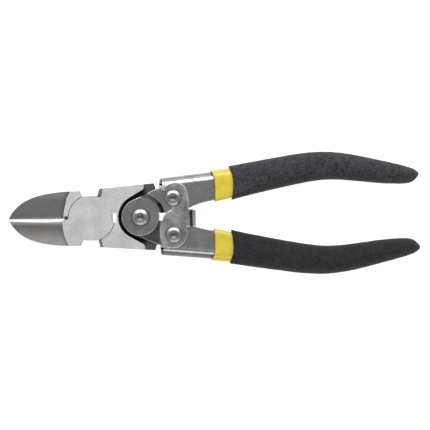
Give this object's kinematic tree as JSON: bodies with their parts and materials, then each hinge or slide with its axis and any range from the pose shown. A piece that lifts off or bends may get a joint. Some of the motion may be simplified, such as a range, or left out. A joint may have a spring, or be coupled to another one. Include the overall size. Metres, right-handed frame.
{
  "type": "tile nippers",
  "caption": "Compound tile nippers with curved ground blades, a lap-jointed jaw disc, pressed channel handles with yellow and black dipped grips, and a thumb latch that holds them shut",
  "frame": {"origin": "centre of the bounding box in X and Y, on the plane that the closed tool lies on", "axes": "+X runs from the jaws to the ends of the grips, +Y to the handle whose cheeks step over the other's, +Z out of the face that carries the latch"},
  "size_m": [0.2004, 0.0594, 0.0222],
  "materials": {
    "ground_steel": "fine ground faces, darker ground blades",
    "pressed_steel": "polished pressed sheet",
    "yellow_dip": "smooth glossy dip",
    "black_dip": "matt dip with a fine foam grain",
    "rivet_steel": "satin turned heads",
    "latch_steel": "satin stamped sheet with bright edges",
    "spring_steel": "drawn wire"
  },
  "bodies": {
    "lower_jaw": {"lower_blade_jaw": "ground_steel", "jaw_pivot_pin": "ground_steel"},
    "upper_jaw": {"upper_blade_jaw": "ground_steel"},
    "upper_handle": {"upper_handle_channel": "pressed_steel", "upper_yellow_sleeve": "yellow_dip", "upper_black_grip": "black_dip", "handle_pivot_rivet": "rivet_steel", "handle_pivot_washer": "rivet_steel", "handle_pivot_spacer": "rivet_steel", "upper_tang_rivet": "rivet_steel", "upper_rivet_washer": "rivet_steel", "latch_catch_collar": "rivet_steel", "opening_spring": "spring_steel"},
    "lower_handle": {"lower_handle_channel": "pressed_steel", "lower_yellow_sleeve": "yellow_dip", "lower_black_grip": "black_dip", "lower_tang_rivet": "rivet_steel", "lower_rivet_washer": "rivet_steel", "latch_bush": "rivet_steel"},
    "latch": {"latch_plate": "latch_steel"}
  },
  "joints": [
    {"name": "jaw_pivot", "type": "hinge", "parent": "lower_jaw", "child": "upper_jaw", "pos_m": [-0.05955, 0, 0.0082], "axis": [0, 0, -1], "range_deg": [0, 11]},
    {"name": "upper_handle_pivot", "type": "hinge", "parent": "lower_jaw", "child": "upper_handle", "pos_m": [-0.01955, 0.009, 0.0082], "axis": [0, 0, 1], "range_deg": [0, 9.2], "deforming": ["opening_spring"]},
    {"name": "lower_handle_pivot", "type": "hinge", "parent": "upper_jaw", "child": "lower_handle", "pos_m": [-0.01955, -0.009, 0.0082], "axis": [0, 0, -1], "range_deg": [0, 9.2]},
    {"name": "latch_pivot", "type": "hinge", "parent": "lower_handle", "child": "latch", "pos_m": [-0.01955, -0.009, 0.0082], "axis": [0, 0, -1], "range_deg": [0, 57.4]}
  ],
  "couplings": [
    {"joint": "upper_handle_pivot", "follows": "jaw_pivot", "ratio": 0.828},
    {"joint": "lower_handle_pivot", "follows": "jaw_pivot", "ratio": 0.828},
    {"joint": "latch_pivot", "follows": "jaw_pivot", "ratio": 5.2}
  ]
}
